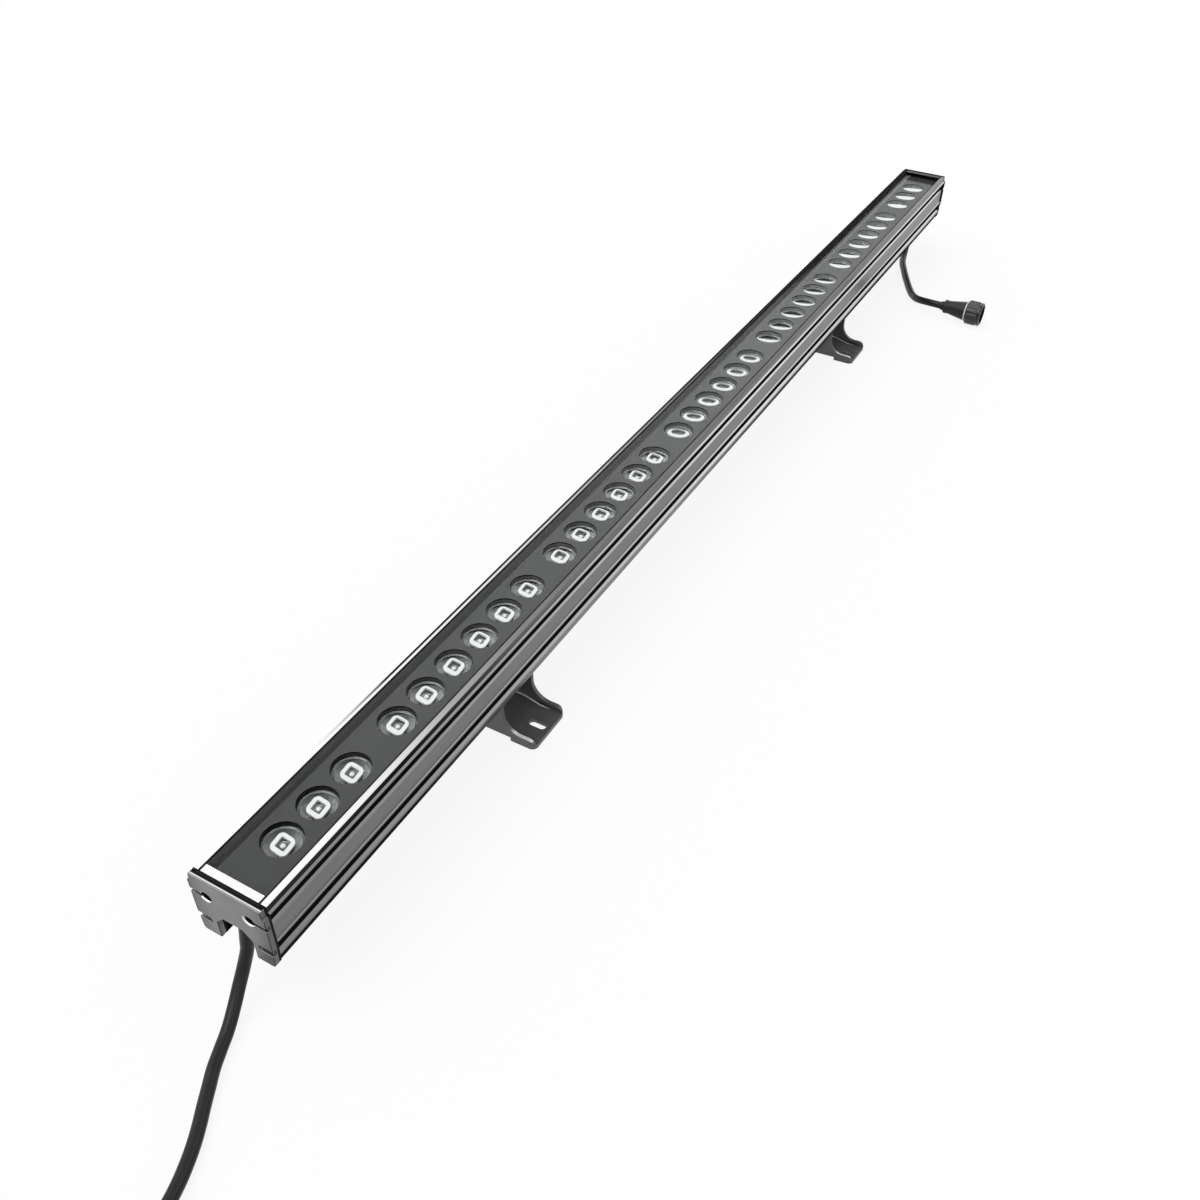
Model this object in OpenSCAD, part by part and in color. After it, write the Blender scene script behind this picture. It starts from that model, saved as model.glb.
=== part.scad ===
// Linear outdoor wall washer light on two tilting feet.
// Millimetres, +Z up. The origin is the middle of the lamp on the surface that its feet stand on.
// The lamp bar runs along X: the inlet lead leaves at the near end (-X), the outlet lead at the far end (+X).

/* [Lamp bar] */
// Length of the lamp bar over both end caps
bar_l = 1000; // [990:2:1060]
// Width of the extruded body across its side faces
body_w = 44; // [43:0.5:50]
// Wall of the extruded body
wall = 2.4; // [2:0.1:2.6]
// Height of the open channel along the underside
channel_h = 17; // [16.5:0.1:18]
// Width of the open channel between the legs
channel_w = 21; // [20.5:0.1:22]
// Width of the flat part of the channel's ceiling
ceiling_w = 11; // [10.6:0.1:11.6]
// Height at which the channel's sides start to lean in
channel_side_h = 11.5; // [11:0.1:12]
// Thickness of the end caps
cap_t = 3; // [2.6:0.1:4]
// Thickness of the gaskets behind the end caps
gasket_t = 1; // [0.8:0.1:1.5]

/* [T-slot] */
// Width of the mouth of the T-slot in the channel's ceiling
slot_mouth_w = 5.8; // [5.6:0.1:6.2]
// Width of the pocket behind the mouth
slot_w = 9.8; // [9.5:0.1:10.2]
// Thickness of the lips beside the mouth
slot_lip = 2; // [1.8:0.1:2.4]
// Height of the pocket
slot_h = 4; // [3.8:0.1:4.6]
// Wall beside the pocket, which also takes the board screws
slot_side = 3.6; // [3.4:0.1:3.8]

/* [Lens chamber] */
// Thickness of the chamber's floor
floor_t = 2; // [1.8:0.1:2.6]
// Height of the chamber from its floor to the glass shelf
chamber_h = 9.3; // [9:0.1:11]
// Thickness of the glass shelf
shelf_t = 1.2; // [1:0.1:1.6]
// Gap between the lenses and the glass shelf
shelf_gap = 3; // [2.5:0.1:3.5]
// Distance from the side faces in to the top lips
lip_in = 1.5; // [1.4:0.1:2]
// Width of each top lip
lip_w = 2.7; // [2.4:0.1:2.9]
// Height of the lips above the glass
lip_over = 0.4; // [0.3:0.1:0.8]

/* [Glass and mask] */
// Thickness of the glass cover
glass_t = 3.8; // [3.4:0.1:4.4]
// Width of the silicone bead beside the glass
seal_w = 1; // [0.8:0.05:1.2]
// Thickness of the lens mask
mask_t = 0.8; // [0.6:0.1:1.2]
// Length of the strip stuck on each end of the glass
strip_l = 4; // [3.5:0.1:5]
// Diameter of the mask's windows
window_d = 20.4; // [20.2:0.1:21]

/* [Lenses and boards] */
// Distance between lens centres within a group
lens_pitch = 24.5; // [24:0.1:24.8]
// Smallest distance between the last lens of a group and the first of the next
group_gap = 30; // [28:0.5:34]
// Diameter of a lens
lens_d = 20; // [19:0.1:20.1]
// Height of a lens above its board
lens_h = 7; // [6.8:0.1:8]
// Width of the light-source boards
board_w = 18; // [17:0.1:18.6]
// Thickness of the boards
board_t = 1.6; // [1:0.1:2]
// Side of a light-source package
package_w = 3.5; // [3:0.1:3.8]

/* [Feet] */
// Height of the bar's underside above the standing surface
foot_h = 35; // [34.8:0.1:40]
// Length of a foot along the bar
foot_l = 34; // [32:0.5:40]
// Width of a foot across the bar
foot_w = 70; // [68:1:80]
// Thickness of a foot's cheeks
cheek_t = 2.5; // [2:0.1:3]
// Thickness of a foot's base plate
pad_t = 2.8; // [2.4:0.1:3.2]
// Height of the step under the middle of a foot
step_h = 2.7; // [2:0.1:3]
// Height of the cheeks' outer rim
rim_h = 6.4; // [6:0.1:7]
// Height of the tilt pivot above the standing surface
pivot_h = 21; // [20.8:0.1:21.2]
// Radius of the cheeks around the pivot
boss_r = 13.6; // [13:0.1:13.7]
// Radius of the hollow between a cheek's boss and its rim
hollow_r = 12; // [11.8:0.1:13]
// Distance from the near end of the bar to the near foot's middle
near_inset = 210; // [200:5:220]
// Distance from the far end of the bar to the far foot's middle
far_inset = 264; // [255:5:275]
// Width of the fixing slots
fix_slot_w = 5; // [4.5:0.1:5.5]
// Length of the fixing slots
fix_slot_l = 11; // [9:0.5:12]
// Distance from the side edge of a foot to the middle of its fixing slot
fix_slot_inset = 8.5; // [8:0.25:9.5]

/* [Saddles] */
// Thickness of a saddle's ears
ear_t = 2.5; // [2:0.1:3]
// Thickness of a saddle's web
web_t = 3; // [2.5:0.1:3.5]
// Diameter of the pivot bolt
pivot_d = 5.9; // [5.5:0.1:6]
// Diameter of the slide bolt
slide_d = 4.9; // [4.7:0.1:5]
// Gap between pieces that slide or turn past each other
slide_gap = 0.3; // [0.25:0.05:0.4]
// Radial running clearance of a pin in its bore
run_gap = 0.05; // [0.02:0.01:0.1]

/* [Leads] */
// Diameter of the two leads
lead_d = 6.5; // [6:0.1:6.5]
// Distance of the lead glands from the ends of the bar
gland_inset = 9; // [8.9:0.1:10]
// Diameter of the outlet connector's collar
collar_d = 21.5; // [20.5:0.1:21.5]
// Length of the outlet connector's collar
collar_l = 14; // [13:0.5:16]
// Length of the tapered part of the connectors
grip_l = 21; // [18:0.5:26]
// Diameter of the inlet connector's threaded shroud
shroud_d = 16.6; // [15.6:0.1:16.6]

/* [Hidden] */
$fn = 48;

// Overrun of cutting shapes past the faces that they cut
over = 1;
// Clearance between fixed pieces that fit into each other
fit_gap = 0.1;

// Heights of the lamp bar's levels above its underside
pocket_z = channel_h + slot_lip;
pocket_top_z = pocket_z + slot_h;
floor_z = pocket_top_z + floor_t;
shelf_z = floor_z + chamber_h;
mask_z = shelf_z + shelf_t;
glass_z = mask_z + mask_t;
top_z = glass_z + glass_t + lip_over;
board_z = floor_z + board_t;

// Lengths of the lamp bar's pieces
profile_l = bar_l - 2 * (cap_t + gasket_t);
glass_l = profile_l;
mask_l = profile_l;
recess_w = body_w - 2 * (lip_in + lip_w);
glass_w = recess_w - 2 * seal_w;
// Gap between the inner pieces and what they lie beside
side_gap = 0.2;
mask_w = recess_w - 2 * side_gap;
strip_w = glass_w - 2 * side_gap;

// Outline of the extruded body, half widths and heights
half_w = body_w / 2;
lip_out = half_w - lip_in;
// Corner radius at the bottom of the legs
leg_corner_r = 1.8;
// How far the legs lean in at the bottom
leg_lean = 0.8;
// Groove line along the side faces: its height, width and depth
groove_z = 14.5;
groove_w = 1.2;
groove_d = 1.2;
// Narrow reveal below the top lip: its height and depth
reveal_h = 0.9;
reveal_d = 2.2;
// Cove between the reveal and the lip: its foot stands this far inside the side face
cove_in = 0.8;
// Chamfer on the lip's outer edge
lip_edge = 0.4;
cove_z = mask_z + reveal_h;

// Lens row: modules of equal length, each with as many lenses on either side of its middle
modules = 6;
// Distance from the ends of the bar to the first and last module
module_inset = 24.5;
module_l = (bar_l - 2 * module_inset) / modules;
half_count = floor((module_l - group_gap) / (2 * lens_pitch) + 1 / 2);
// Groups of lenses lie over the joints between modules, with half a group at each end
group_sizes = [for (g = [0:modules]) (g == 0 || g == modules ? 1 : 2) * half_count];
row_l = modules * module_l - lens_pitch;
function joint_x(g) = (g - modules / 2) * module_l;
function lens_x(g, i) = joint_x(g) + (i + 1 / 2 - (g == 0 ? 0 : half_count)) * lens_pitch;
function gap_x(g) = joint_x(g) - module_l / 2;

// Lens shape
lens_base_d = 10;
lens_rim_h = 1.8;
lens_step = 1;
lens_hollow_d = 6;
lens_hollow_h = 3.4;

// Boards
board_end_margin = 13.5;
board_joint = 0.4;
board_l = row_l / 2 + board_end_margin - board_joint;
package_h = 0.9;
dome_r = 1.3;
chip_l = 4.9;
chip_w = 3.9;
chip_h = 1.5;
resistor_l = 3.2;
resistor_w = 1.6;
resistor_h = 0.6;
terminal_l = 5.4;
terminal_w = 10;
terminal_h = 3;
wire_d = 1.4;
wire_y = 2.5;

// Machine screws of the boards
board_screw_d = 2.9;
board_screw_head_d = 5.4;
board_screw_head_h = 1.8;
board_screw_l = 5;
board_screw_y = slot_w / 2 + slot_side / 2;

// Screw ports for the end caps
port_y = 12.3;
port_rise = 4;
port_z = floor_z + port_rise;
port_d = 5.4;
port_web = 2.4;
cap_screw_d = 2.8;
cap_screw_head_d = 5.6;
cap_screw_l = 14;
cap_screw_sink = 0.4;
cap_screw_cone = 1.6;
hex_key_d = 2.4;
hex_key_depth = 1;

// Side recesses in the end caps: lower and upper
notch_d = 2;
low_notch_z = 8.3;
low_notch_h = 3.8;
low_notch_y = 13.6;
up_notch_h = 2.4;
up_notch_y = 13.4;
up_notch_drop = 1.9;

// Feet and saddles
pivot_z = pivot_h;
near_x = near_inset - bar_l / 2;
far_x = bar_l / 2 - far_inset;
// Length of the pads under the two ends of a foot
pad_l = 16.5;
step_y = foot_w / 2 - pad_l;
step_slope = 1.5;
rim_corner_r = 5;
pad_corner_r = 4;
saddle_l = foot_l - 2 * cheek_t - 2 * slide_gap;
saddle_side_gap = 0.7;
saddle_w = channel_w - 2 * saddle_side_gap;
web_top = channel_h - slide_gap;
washer_t = 1;
pivot_washer_d = 12.4;
pivot_head_w = 10;
pivot_head_h = 4;
pivot_nut_h = 5;
pivot_tail = 1.5;
slide_head_w = slot_w - 2 * slide_gap;
slide_head_h = slot_h - 2 * slide_gap;
slide_washer_d = 10;
slide_nut_w = 8;
slide_nut_h = 4;
slide_tail = 1.5;
// Underside of the washer below a saddle's web, and outer face of a pivot washer
nut_top = foot_h + web_top - web_t - washer_t;
stack = foot_l / 2 + washer_t;
// Ratio of a hexagon's corner circle to its width across flats
hex_share = 2 / sqrt(3);

// Glands and strain reliefs
gland_x = bar_l / 2 - gland_inset;
gland_body_d = 7.2;
gland_flange_d = 9.6;
gland_flange_t = 2;
gland_nut_w = 8.4;
gland_nut_h = 3;
boot_top_d = 9;
boot_tip_d = 7.2;

// Connectors
tail_d = 8;
tail_l = 3;
grip_small_d = 11.6;
grip_big_d = 17;
grip_edge = 1;
nose_d = 14;
nose_l = 9;
nose_flange_t = 1.2;
nose_flange_d = 15;
collar_web_t = 2.4;
collar_wall = 2;
collar_gap = 0.4;
collar_edge = 1.2;
contact_d = 2;
contact_hole_d = 2.2;
contact_gap = 5;
contact_l = 6;
shroud_l = 12;
shroud_depth = 9;
shroud_wall = 2.2;
shroud_grip_d = 15;
pin_d = 1.6;
pin_l = 8;
seal_ring_d = 1.6;
seal_core_d = shroud_d - 2 * seal_ring_d;
grip_end = tail_l + grip_l;

// Routes of the leads: the points that the middle of a lead runs through, measured along X from its gland
function from_gland(x, route) = [for (p = route) p + [x, 0, 0]];
inlet_route = from_gland(-gland_x, [
    [-5, 0, 32], [-5.5, 0, 30.1], [-9.2, 0.5, 21.4], [-15, -0.2, 13.9], [-22.5, -2.6, 8.2],
    [-31.3, -6.1, 4.6], [-40.7, -9.7, 3.3], [-48, -13, 3.3], [-55, -17, 3.3], [-62.5, -21.3, 3.3],
    [-69.5, -25.5, 3.3], [-77, -29.5, 3.3], [-85, -33.1, 3.5], [-93.3, -36.4, 4.3], [-101.6, -39.2, 5.9],
    [-110.1, -41.2, 7.5], [-119, -42, 8.3], [-125, -42, 8.3]]);
outlet_route = from_gland(gland_x, [
    [-5, 0, 32], [-5.5, 0, 30.1], [-9.2, -0.6, 21.4], [-15, -1.5, 13.9], [-22.5, -2.9, 8.2],
    [-31.3, -4.6, 4.6], [-40.7, -6.7, 3.3], [-47.5, -8.7, 3.3], [-54.5, -11.3, 3.3], [-61.6, -14.3, 3.3],
    [-69, -17.4, 3.3], [-76.3, -20.6, 3.3], [-83.5, -23.9, 3.3], [-90.8, -27.3, 3.3], [-98.1, -30.8, 3.3],
    [-105.4, -34.4, 3.4], [-113.2, -38.5, 3.8], [-121, -43.2, 4.8], [-127.9, -48.2, 6.5], [-133.5, -54.3, 8.5],
    [-137.3, -61.7, 10.1], [-139, -70, 10.75], [-139, -74, 10.75]]);
lead_sides = 10;
wire_sides = 8;

// Tube swept along a list of points
function unit(v) = v / norm(v);
function last(v) = v[len(v) - 1];
function tangents(p) = [for (i = [0:len(p) - 1]) unit(p[min(i + 1, len(p) - 1)] - p[max(i - 1, 0)])];
function square_to(n, t) = unit(n - (n * t) * t);
function normals(t, n, i = 0) =
    i == len(t) ? [] : let (m = square_to(n, t[i])) concat([m], normals(t, m, i + 1));
function ring_points(p, t, n, r, s) =
    [for (i = [0:len(p) - 1], k = [0:s - 1]) let (a = 360 * k / s)
        p[i] + r * (cos(a) * n[i] + sin(a) * cross(t[i], n[i]))];
function side_faces(rings, s) =
    [for (i = [0:rings - 2], k = [0:s - 1], half = [0, 1]) let (q = (k + 1) % s)
        half == 0 ? [i * s + k, (i + 1) * s + k, (i + 1) * s + q] : [i * s + k, (i + 1) * s + q, i * s + q]];
module swept_tube(p, d, s) {
    t = tangents(p);
    n = normals(t, [0, 1, 0]);
    rings = len(p);
    polyhedron(points = ring_points(p, t, n, d / 2, s),
        faces = concat(side_faces(rings, s), [[for (k = [0:s - 1]) k]],
            [[for (k = [0:s - 1]) rings * s - 1 - k]]), convexity = 6);
}

// Arc points around a centre, from one angle to another
function arc(c, r, a0, a1, n) = [for (i = [0:n]) let (a = a0 + (a1 - a0) * i / n) c + r * [cos(a), sin(a)]];
function mirrored(p) = [for (i = [len(p) - 1:-1:0]) [-p[i][0], p[i][1]]];
function both_sides(p) = concat(p, mirrored(p));

// Lays a drawing of [Y, Z] points out along X from x0 to x1
module along_x(x0, x1) translate([x0, 0, 0]) rotate([90, 0, 90]) linear_extrude(x1 - x0) children();
module on_bar() translate([0, 0, foot_h]) children();
module far_end() mirror([1, 0, 0]) children();
module hex(w, h) cylinder(h = h, d = w * hex_share, $fn = 6);

// Outline of the lamp bar from the middle of its underside to the middle of its top
module bar_outline(grooves) {
    g = grooves ? groove_d : 0;
    r = grooves ? reveal_d : cove_in;
    polygon(both_sides(concat(
        arc([half_w - leg_lean - leg_corner_r, leg_corner_r], leg_corner_r, -90, 0, 5),
        [[half_w, groove_z - groove_w],
        [half_w - g, groove_z - groove_w / 2],
        [half_w - g, groove_z + groove_w / 2],
        [half_w, groove_z + groove_w],
        [half_w, mask_z],
        [half_w - r, mask_z],
        [half_w - r, cove_z]],
        [for (i = [0:6]) let (a = 90 - 90 * i / 6, d = half_w - cove_in - lip_out, h = top_z - lip_edge - cove_z)
            [half_w - cove_in - d * cos(a), top_z - lip_edge - h * sin(a)]],
        [[lip_out - lip_edge, top_z]])));
}

// Open channel along the underside, grown by a gap
module channel_outline(gap = 0) {
    polygon(both_sides([
        [channel_w / 2 + gap, -over],
        [channel_w / 2 + gap, channel_side_h],
        [ceiling_w / 2 + gap, channel_h + gap]]));
}

// Hollow inside one leg and beside the T-slot
module leg_hollow() {
    slot_out = slot_w / 2 + slot_side;
    polygon([
        [channel_w / 2 + wall, wall],
        [half_w - leg_lean - wall, wall],
        [half_w - wall, groove_z],
        [half_w - wall, floor_z - wall],
        [slot_out, floor_z - wall],
        [slot_out, channel_h],
        [channel_w / 2 + wall, channel_side_h + wall / 3]]);
}

module screw_port_solid() {
    translate([port_y, port_z]) circle(d = port_d);
    translate([port_y - port_web / 2, floor_z - over]) square([port_web, port_z - floor_z + over]);
}

module profile_section() {
    difference() {
        bar_outline(true);
        channel_outline();
        leg_hollow();
        mirror([1, 0]) leg_hollow();
        translate([-slot_mouth_w / 2, channel_h - over]) square([slot_mouth_w, slot_lip + 2 * over]);
        translate([-slot_w / 2, pocket_z]) square([slot_w, slot_h]);
        difference() {
            translate([-half_w + wall, floor_z]) square([body_w - 2 * wall, chamber_h]);
            screw_port_solid();
            mirror([1, 0]) screw_port_solid();
        }
        translate([-lens_d / 2 - shelf_gap, shelf_z - over])
            square([lens_d + 2 * shelf_gap, shelf_t + 2 * over]);
        translate([-recess_w / 2, mask_z]) square([recess_w, top_z - mask_z + over]);
    }
}

module board_screw_places() {
    for (g = [1:modules], s = [-1, 1])
        translate([gap_x(g), s * board_screw_y, 0]) children();
}

module housing_profile() color([0.38, 0.38, 0.38]) on_bar() difference() {
    along_x(-profile_l / 2, profile_l / 2) profile_section();
    for (s = [-1, 1]) {
        translate([s * gland_x, 0, channel_h - over])
            cylinder(h = floor_z - channel_h + 2 * over, d = gland_body_d + 2 * fit_gap);
        for (e = [0, 1], side = [-1, 1])
            mirror([e, 0, 0]) translate([-profile_l / 2 - over, side * port_y, port_z])
                rotate([0, 90, 0]) cylinder(h = cap_screw_l + over, d = cap_screw_d + 2 * fit_gap);
    }
    board_screw_places() translate([0, 0, floor_z - board_screw_l + board_t])
        cylinder(h = board_screw_l, d = board_screw_d + 2 * fit_gap);
}

// End caps, gaskets and their screws, drawn at the near end
module cap_recess(y, z, h) {
    translate([-bar_l / 2 - over, y + h / 2, z + h / 2])
        rotate([0, 90, 0]) cylinder(h = notch_d + over, d = h);
    translate([-bar_l / 2 - over, y + h / 2, z]) cube([notch_d + over, half_w, h]);
}

module end_cap() color([0.5, 0.5, 0.5]) on_bar() difference() {
    along_x(-bar_l / 2, -bar_l / 2 + cap_t) difference() {
        bar_outline(false);
        channel_outline();
    }
    for (side = [0, 1]) mirror([0, side, 0]) {
        cap_recess(low_notch_y, low_notch_z, low_notch_h);
        cap_recess(up_notch_y, port_z - up_notch_drop, up_notch_h);
        translate([-bar_l / 2 - over, port_y, port_z]) rotate([0, 90, 0]) {
            cylinder(h = cap_t + 2 * over, d = cap_screw_d + 4 * fit_gap);
            cylinder(h = over + cap_screw_sink, d = cap_screw_head_d + 2 * fit_gap);
            translate([0, 0, over + cap_screw_sink])
                cylinder(h = cap_screw_cone, d1 = cap_screw_head_d + 2 * fit_gap,
                    d2 = cap_screw_d + 2 * fit_gap, $fn = 48);
        }
    }
}

module end_gasket() color([0.1, 0.1, 0.1]) on_bar()
    along_x(-bar_l / 2 + cap_t, -profile_l / 2) difference() {
        bar_outline(false);
        channel_outline();
        for (side = [-1, 1]) translate([side * port_y, port_z]) circle(d = cap_screw_d + 4 * fit_gap);
    }

module end_cap_screws() color([0.12, 0.12, 0.12]) on_bar() for (side = [-1, 1])
    translate([-bar_l / 2 + cap_screw_sink, side * port_y, port_z]) rotate([0, 90, 0]) difference() {
        union() {
            cylinder(h = cap_screw_cone, d1 = cap_screw_head_d, d2 = cap_screw_d, $fn = 48);
            cylinder(h = cap_t + gasket_t + cap_screw_l - 2 * cap_screw_sink - over, d = cap_screw_d);
        }
        translate([0, 0, -over]) cylinder(h = hex_key_depth + over, d = hex_key_d, $fn = 6);
    }

// Glass, its seals, the end strips and the mask
module glass_cover() color([0.75, 0.8, 0.82, 0.35]) on_bar()
    translate([-glass_l / 2, -glass_w / 2, glass_z]) cube([glass_l, glass_w, glass_t]);

module glass_seals() color([0.06, 0.06, 0.06]) on_bar() for (s = [0, 1]) mirror([0, s, 0])
    translate([-glass_l / 2, glass_w / 2, glass_z]) cube([glass_l, seal_w, glass_t]);

module end_strip() on_bar()
    translate([-profile_l / 2, -strip_w / 2, glass_z + glass_t]) cube([strip_l, strip_w, lip_over]);

module white_end_strip() color([0.95, 0.95, 0.95]) end_strip();
module grey_end_strip() color([0.5, 0.5, 0.5]) far_end() end_strip();

module lens_mask() color([0.3, 0.3, 0.3]) on_bar() difference() {
    translate([-mask_l / 2, -mask_w / 2, mask_z]) cube([mask_l, mask_w, mask_t]);
    for (g = [0:modules], i = [0:group_sizes[g] - 1])
        translate([lens_x(g, i), 0, mask_z - over]) cylinder(h = mask_t + 2 * over, d = window_d);
}

// One moulded lens: a cone on a narrow foot with a hollow over the light source
module lens() rotate_extrude() polygon([
    [lens_hollow_d / 2, 0],
    [lens_base_d / 2, 0],
    [lens_d / 2 - lens_step, lens_h - lens_rim_h],
    [lens_d / 2, lens_h - lens_rim_h],
    [lens_d / 2, lens_h],
    [0, lens_h],
    [0, lens_hollow_h],
    [lens_hollow_d / 2, lens_hollow_h]]);

module lens_group(g) color([0.7, 0.72, 0.74, 0.5]) on_bar() for (i = [0:group_sizes[g] - 1])
    translate([lens_x(g, i), 0, board_z]) lens();

// Boards, drawn for the near half
module led_board() color([0.85, 0.85, 0.82]) on_bar() difference() {
    translate([-board_l - board_joint, -board_w / 2, floor_z]) cube([board_l, board_w, board_t]);
    board_screw_places() translate([0, 0, floor_z - over])
        cylinder(h = board_t + 2 * over, d = board_screw_d + 2 * fit_gap);
}

module led_emitter() {
    translate([-package_w / 2, -package_w / 2, 0]) cube([package_w, package_w, package_h]);
    translate([0, 0, package_h]) intersection() {
        sphere(r = dome_r);
        cylinder(h = dome_r, r = dome_r + over);
    }
}

module led_emitters() color([0.95, 0.93, 0.8]) on_bar()
    for (g = [0:modules], i = [0:group_sizes[g] - 1])
        if (lens_x(g, i) < 0) translate([lens_x(g, i), 0, board_z]) led_emitter();

// Driver chips and resistors between the lenses, and the terminal block at the board's end
module board_parts() color([0.08, 0.08, 0.08]) on_bar() translate([0, 0, board_z]) {
    for (g = [0:modules], i = [0:group_sizes[g] - 2]) {
        x = lens_x(g, i) + lens_pitch / 2;
        if (x < -lens_pitch / 4) {
            translate([x - chip_w / 2, board_w / 4 - chip_l / 2, 0]) cube([chip_w, chip_l, chip_h]);
            translate([x - resistor_w / 2, -board_w / 4 - resistor_l / 2, 0])
                cube([resistor_w, resistor_l, resistor_h]);
        }
    }
    translate([-row_l / 2 - board_end_margin, -terminal_w / 2, 0])
        cube([terminal_l, terminal_w, terminal_h]);
}

module board_screws() color([0.7, 0.7, 0.7]) on_bar() board_screw_places() {
    translate([0, 0, board_z]) cylinder(h = board_screw_head_h, d = board_screw_head_d);
    translate([0, 0, board_z - board_screw_l + over]) cylinder(h = board_screw_l - over, d = board_screw_d);
}

module board_link_wires() color([0.7, 0.1, 0.1]) on_bar() for (s = [-1, 1])
    translate([-lens_pitch / 4, s * board_w / 3, board_z + wire_d / 2])
        rotate([0, 90, 0]) cylinder(h = lens_pitch / 2, d = wire_d);

// Two cores from the gland to the terminal block
module lead_wires() color([0.6, 0.1, 0.1]) on_bar() for (s = [-1, 1]) {
    y = s * wire_y;
    z = board_z + terminal_h / 2;
    x_end = -row_l / 2 - board_end_margin;
    rise = floor_z + gland_nut_h;
    bend = z + wire_d;
    swept_tube([
        [-gland_x, y / 2, rise],
        [-gland_x, y / 2, rise + wire_d],
        [-gland_x + wire_d / 2, y * 3 / 4, bend + wire_d],
        [-gland_x + 2 * wire_d, y, bend + wire_d],
        [x_end - 2 * wire_d, y, z + wire_d / 2],
        [x_end - wire_d, y, z],
        [x_end, y, z]], wire_d, wire_sides);
}

// Strain relief and nut of a lead; the tip is the first point of its route
module strain_relief(route) color([0.09, 0.09, 0.09]) {
    tip = route[0];
    x = sign(tip[0]) * gland_x;
    root = [x, 0, foot_h + channel_h - gland_flange_t];
    fall = root - tip;
    translate([x, 0, foot_h + channel_h]) cylinder(h = floor_z - channel_h + gland_nut_h, d = gland_body_d);
    translate(root) cylinder(h = gland_flange_t, d = gland_flange_d);
    difference() {
        translate(tip) rotate([0, atan2(fall[0], fall[2]), 0])
            cylinder(h = norm(fall) + gland_flange_t, d1 = boot_tip_d, d2 = boot_top_d, $fn = 48);
        translate([x - body_w / 2, -body_w / 2, root[2] + gland_flange_t / 2]) cube([body_w, body_w, body_w]);
    }
}

module gland_nut() color([0.1, 0.1, 0.1]) on_bar() translate([-gland_x, 0, floor_z]) difference() {
    rotate([0, 0, 30]) hex(gland_nut_w, gland_nut_h);
    translate([0, 0, -over]) cylinder(h = gland_nut_h + 2 * over, d = gland_body_d + 2 * fit_gap);
}

// Leads
module inlet_lead() color([0.1, 0.1, 0.1]) swept_tube(inlet_route, lead_d, lead_sides);
module outlet_lead() color([0.1, 0.1, 0.1]) swept_tube(outlet_route, lead_d, lead_sides);

// Lays a connector drawn along +Z on the end of a route
module at_route_end(route) {
    e = last(route);
    d = e - route[len(route) - 2];
    translate(e) rotate([0, 0, atan2(d[1], d[0])]) rotate([0, 90, 0]) children();
}

module connector_grip(front_d) {
    rotate_extrude() polygon([
        [0, 0],
        [tail_d / 2, 0],
        [tail_d / 2, tail_l],
        [grip_small_d / 2 - grip_edge, tail_l],
        [grip_small_d / 2, tail_l + grip_edge],
        [front_d / 2, tail_l + grip_l],
        [0, tail_l + grip_l]]);
}

module inlet_connector() color([0.1, 0.1, 0.1]) at_route_end(inlet_route) difference() {
    union() {
        connector_grip(shroud_grip_d);
        translate([0, 0, grip_end - over]) cylinder(h = shroud_l + over, d = seal_core_d);
        translate([0, 0, grip_end + 2 * seal_ring_d])
            cylinder(h = shroud_l - 2 * seal_ring_d, d = shroud_d);
    }
    translate([0, 0, grip_end + shroud_l - shroud_depth])
        cylinder(h = shroud_depth + over, d = shroud_d - 2 * shroud_wall);
}

module inlet_seal() color([0.75, 0.2, 0.1]) at_route_end(inlet_route)
    translate([0, 0, grip_end + seal_ring_d]) rotate_extrude()
        translate([(seal_core_d + seal_ring_d) / 2, 0]) circle(d = seal_ring_d - fit_gap);

module inlet_pins() color([0.8, 0.65, 0.3]) at_route_end(inlet_route) for (s = [-1, 1])
    translate([0, s * contact_gap / 2, grip_end + shroud_l - shroud_depth]) {
        cylinder(h = pin_l - pin_d / 2, d = pin_d);
        translate([0, 0, pin_l - pin_d / 2]) sphere(d = pin_d);
    }

module outlet_connector() color([0.1, 0.1, 0.1]) at_route_end(outlet_route) difference() {
    union() {
        connector_grip(grip_big_d);
        translate([0, 0, grip_end - over]) cylinder(h = nose_l + over, d = nose_d);
        translate([0, 0, grip_end + collar_gap + collar_web_t + slide_gap])
            cylinder(h = nose_flange_t, d = nose_flange_d);
    }
    for (s = [-1, 1]) translate([0, s * contact_gap / 2, grip_end + nose_l - contact_l])
        cylinder(h = contact_l + over, d = contact_hole_d);
}

module outlet_contacts() color([0.8, 0.65, 0.3]) at_route_end(outlet_route) for (s = [-1, 1])
    translate([0, s * contact_gap / 2, grip_end + nose_l - contact_l]) difference() {
        cylinder(h = contact_l - fit_gap, d = contact_d);
        translate([0, 0, over]) cylinder(h = contact_l, d = contact_d / 2);
    }

module outlet_collar() color([0.07, 0.07, 0.07]) at_route_end(outlet_route)
    translate([0, 0, grip_end + collar_gap]) rotate_extrude() polygon([
        [nose_d / 2 + run_gap, 0],
        [collar_d / 2 - collar_edge, 0],
        [collar_d / 2, collar_edge],
        [collar_d / 2, collar_l - collar_edge],
        [collar_d / 2 - collar_edge, collar_l],
        [collar_d / 2 - collar_wall, collar_l],
        [collar_d / 2 - collar_wall, collar_web_t],
        [nose_d / 2 + run_gap, collar_web_t]]);

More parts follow.
